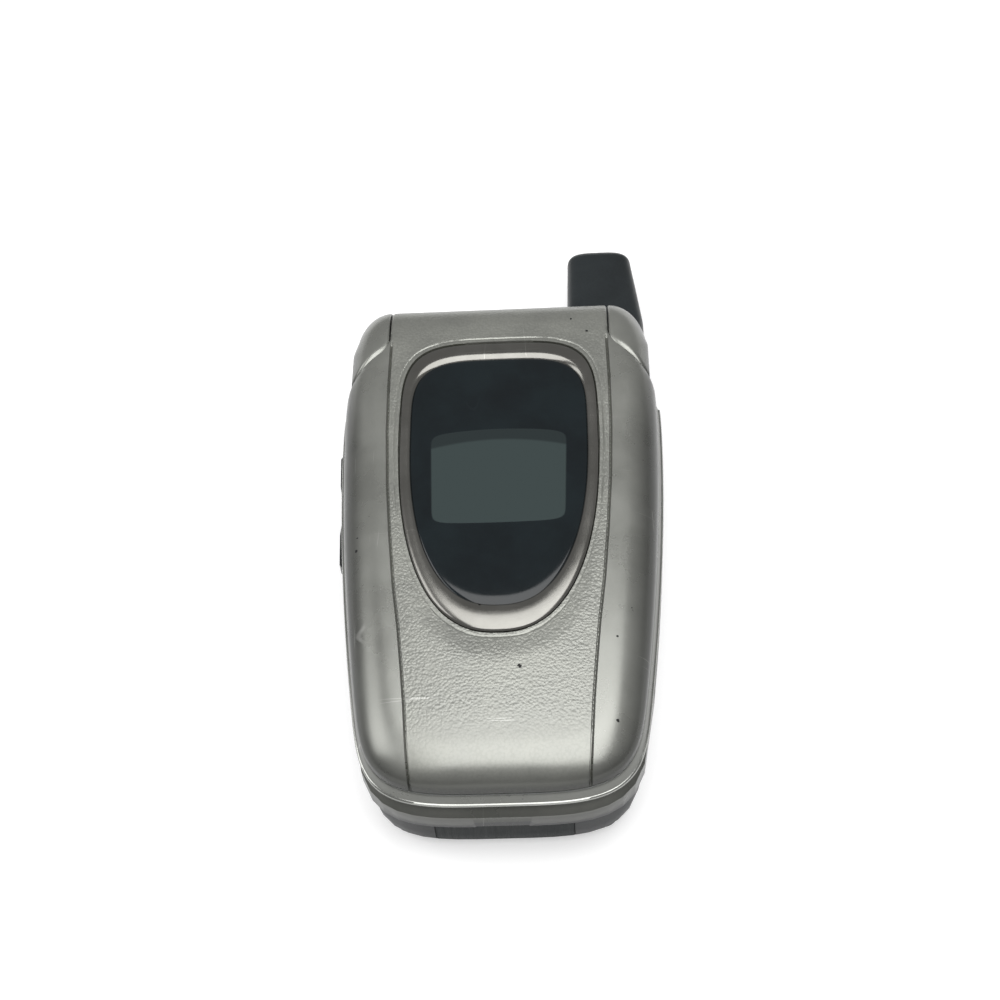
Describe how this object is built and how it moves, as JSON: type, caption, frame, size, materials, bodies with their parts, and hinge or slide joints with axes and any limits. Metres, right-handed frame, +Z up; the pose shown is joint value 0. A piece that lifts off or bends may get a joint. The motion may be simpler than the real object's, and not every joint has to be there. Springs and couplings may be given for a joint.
{
  "type": "flip phone",
  "caption": "Small silver clamshell phone, closed on its back, with an egg-shaped window in the lid and a stub antenna; lid, keys, volume rocker, latch and port cover move.",
  "frame": {"origin": "middle of the flat back face that the closed phone lies on", "axes": "+X to the right seen from above with the hinge away, +Y toward the hinge and antenna, +Z up through the lid"},
  "size_m": [0.0492, 0.11, 0.0232],
  "materials": {
    "silver_paint": "fine metallic paint, worn at its edges",
    "silver_satin": "satin silver moulding",
    "bezel_metal": "polished, scratched",
    "window_glass": "gloss black with a clear window",
    "display_glass": "gloss",
    "display_panel": "dark glass",
    "circuit_board": "solder mask",
    "tin_plate": "tin plate",
    "screw_steel": "zinc plated",
    "hinge_steel": "ground",
    "bumper_rubber": "matt",
    "flex_film": "amber film",
    "dark_case": "fine spark texture",
    "mat_rubber": "translucent silicone",
    "black_plastic": "satin",
    "card_plastic": "satin",
    "antenna_plastic": "satin",
    "gold_brass": "plated",
    "cover_rubber": "satin",
    "key_plastic": "satin with printed digits",
    "function_plastic": "satin"
  },
  "bodies": {
    "base": {"base_front_case": "silver_paint", "base_rear_case": "dark_case", "main_circuit_board": "circuit_board", "shield_cans": "tin_plate", "dome_sheet": "tin_plate", "keypad_mat": "mat_rubber", "microphone": "black_plastic", "ringer_speaker": "tin_plate", "battery_pack": "dark_case", "battery_connector": "black_plastic", "sim_holder": "tin_plate", "sim_card": "card_plastic", "io_connector": "tin_plate", "headset_jack": "black_plastic", "coin_cell": "tin_plate", "base_screws": "screw_steel", "side_switches": "black_plastic", "antenna_cover": "antenna_plastic", "antenna_core": "gold_brass", "antenna_bush": "gold_brass", "hinge_shaft": "hinge_steel", "hinge_bush": "hinge_steel", "base_flex": "flex_film"},
    "lid": {"lid_outer_cover": "silver_paint", "window_bezel": "bezel_metal", "window_lens": "window_glass", "outer_display": "display_panel", "lid_circuit_board": "circuit_board", "main_display": "display_panel", "display_lens": "display_glass", "lid_inner_cover": "silver_satin", "earpiece_speaker": "tin_plate", "vibration_motor": "tin_plate", "lid_screws": "screw_steel", "lid_bumpers": "bumper_rubber", "lid_magnet": "tin_plate", "hinge_cartridge": "hinge_steel", "hinge_flex": "flex_film"},
    "key_1_body": {"key_1": "key_plastic"},
    "key_2_body": {"key_2": "key_plastic"},
    "key_3_body": {"key_3": "key_plastic"},
    "key_4_body": {"key_4": "key_plastic"},
    "key_5_body": {"key_5": "key_plastic"},
    "key_6_body": {"key_6": "key_plastic"},
    "key_7_body": {"key_7": "key_plastic"},
    "key_8_body": {"key_8": "key_plastic"},
    "key_9_body": {"key_9": "key_plastic"},
    "key_star_body": {"key_star": "key_plastic"},
    "key_0_body": {"key_0": "key_plastic"},
    "key_hash_body": {"key_hash": "key_plastic"},
    "nav_key_body": {"nav_key": "function_plastic"},
    "ok_key_body": {"ok_key": "function_plastic"},
    "soft_key_left_body": {"soft_key_left": "function_plastic"},
    "soft_key_right_body": {"soft_key_right": "function_plastic"},
    "send_key_body": {"send_key": "function_plastic"},
    "end_key_body": {"end_key": "function_plastic"},
    "clear_key_body": {"clear_key": "function_plastic"},
    "rocker_body": {"volume_rocker": "black_plastic"},
    "latch_body": {"battery_latch": "dark_case"},
    "cover_body": {"connector_cover": "cover_rubber"}
  },
  "joints": [
    {"name": "lid_hinge", "type": "hinge", "parent": "base", "child": "lid", "pos_m": [0, 0.035, 0.015], "axis": [-1, 0, 0], "range_deg": [0, 150]},
    {"name": "key_1_press", "type": "slide", "parent": "base", "child": "key_1_body", "axis": [0, 0, -1], "range_m": [0, 0.0003], "stiffness_N_per_m": 3000, "springref_m": -0.0003},
    {"name": "key_2_press", "type": "slide", "parent": "base", "child": "key_2_body", "axis": [0, 0, -1], "range_m": [0, 0.0003], "stiffness_N_per_m": 3000, "springref_m": -0.0003},
    {"name": "key_3_press", "type": "slide", "parent": "base", "child": "key_3_body", "axis": [0, 0, -1], "range_m": [0, 0.0003], "stiffness_N_per_m": 3000, "springref_m": -0.0003},
    {"name": "key_4_press", "type": "slide", "parent": "base", "child": "key_4_body", "axis": [0, 0, -1], "range_m": [0, 0.0003], "stiffness_N_per_m": 3000, "springref_m": -0.0003},
    {"name": "key_5_press", "type": "slide", "parent": "base", "child": "key_5_body", "axis": [0, 0, -1], "range_m": [0, 0.0003], "stiffness_N_per_m": 3000, "springref_m": -0.0003},
    {"name": "key_6_press", "type": "slide", "parent": "base", "child": "key_6_body", "axis": [0, 0, -1], "range_m": [0, 0.0003], "stiffness_N_per_m": 3000, "springref_m": -0.0003},
    {"name": "key_7_press", "type": "slide", "parent": "base", "child": "key_7_body", "axis": [0, 0, -1], "range_m": [0, 0.0003], "stiffness_N_per_m": 3000, "springref_m": -0.0003},
    {"name": "key_8_press", "type": "slide", "parent": "base", "child": "key_8_body", "axis": [0, 0, -1], "range_m": [0, 0.0003], "stiffness_N_per_m": 3000, "springref_m": -0.0003},
    {"name": "key_9_press", "type": "slide", "parent": "base", "child": "key_9_body", "axis": [0, 0, -1], "range_m": [0, 0.0003], "stiffness_N_per_m": 3000, "springref_m": -0.0003},
    {"name": "key_star_press", "type": "slide", "parent": "base", "child": "key_star_body", "axis": [0, 0, -1], "range_m": [0, 0.0003], "stiffness_N_per_m": 3000, "springref_m": -0.0003},
    {"name": "key_0_press", "type": "slide", "parent": "base", "child": "key_0_body", "axis": [0, 0, -1], "range_m": [0, 0.0003], "stiffness_N_per_m": 3000, "springref_m": -0.0003},
    {"name": "key_hash_press", "type": "slide", "parent": "base", "child": "key_hash_body", "axis": [0, 0, -1], "range_m": [0, 0.0003], "stiffness_N_per_m": 3000, "springref_m": -0.0003},
    {"name": "nav_key_press", "type": "slide", "parent": "base", "child": "nav_key_body", "axis": [0, 0, -1], "range_m": [0, 0.0003], "stiffness_N_per_m": 3000, "springref_m": -0.0003},
    {"name": "ok_key_press", "type": "slide", "parent": "base", "child": "ok_key_body", "axis": [0, 0, -1], "range_m": [0, 0.0003], "stiffness_N_per_m": 3000, "springref_m": -0.0003},
    {"name": "soft_key_left_press", "type": "slide", "parent": "base", "child": "soft_key_left_body", "axis": [0, 0, -1], "range_m": [0, 0.0003], "stiffness_N_per_m": 3000, "springref_m": -0.0003},
    {"name": "soft_key_right_press", "type": "slide", "parent": "base", "child": "soft_key_right_body", "axis": [0, 0, -1], "range_m": [0, 0.0003], "stiffness_N_per_m": 3000, "springref_m": -0.0003},
    {"name": "send_key_press", "type": "slide", "parent": "base", "child": "send_key_body", "axis": [0, 0, -1], "range_m": [0, 0.0003], "stiffness_N_per_m": 3000, "springref_m": -0.0003},
    {"name": "end_key_press", "type": "slide", "parent": "base", "child": "end_key_body", "axis": [0, 0, -1], "range_m": [0, 0.0003], "stiffness_N_per_m": 3000, "springref_m": -0.0003},
    {"name": "clear_key_press", "type": "slide", "parent": "base", "child": "clear_key_body", "axis": [0, 0, -1], "range_m": [0, 0.0003], "stiffness_N_per_m": 3000, "springref_m": -0.0003},
    {"name": "volume_rock", "type": "hinge", "parent": "base", "child": "rocker_body", "pos_m": [-0.0211, 0.0096, 0.0095], "axis": [0, 0, 1], "range_deg": [-1.2, 1.2], "stiffness_Nm_per_rad": 0.3},
    {"name": "latch_slide", "type": "slide", "parent": "base", "child": "latch_body", "axis": [0, 1, 0], "range_m": [0, 0.0018], "stiffness_N_per_m": 600, "springref_m": -0.0004},
    {"name": "cover_swing", "type": "hinge", "parent": "base", "child": "cover_body", "pos_m": [-0.00945, -0.04235, 0.005], "axis": [0, 0, -1], "range_deg": [0, 100], "stiffness_Nm_per_rad": 0.004}
  ]
}
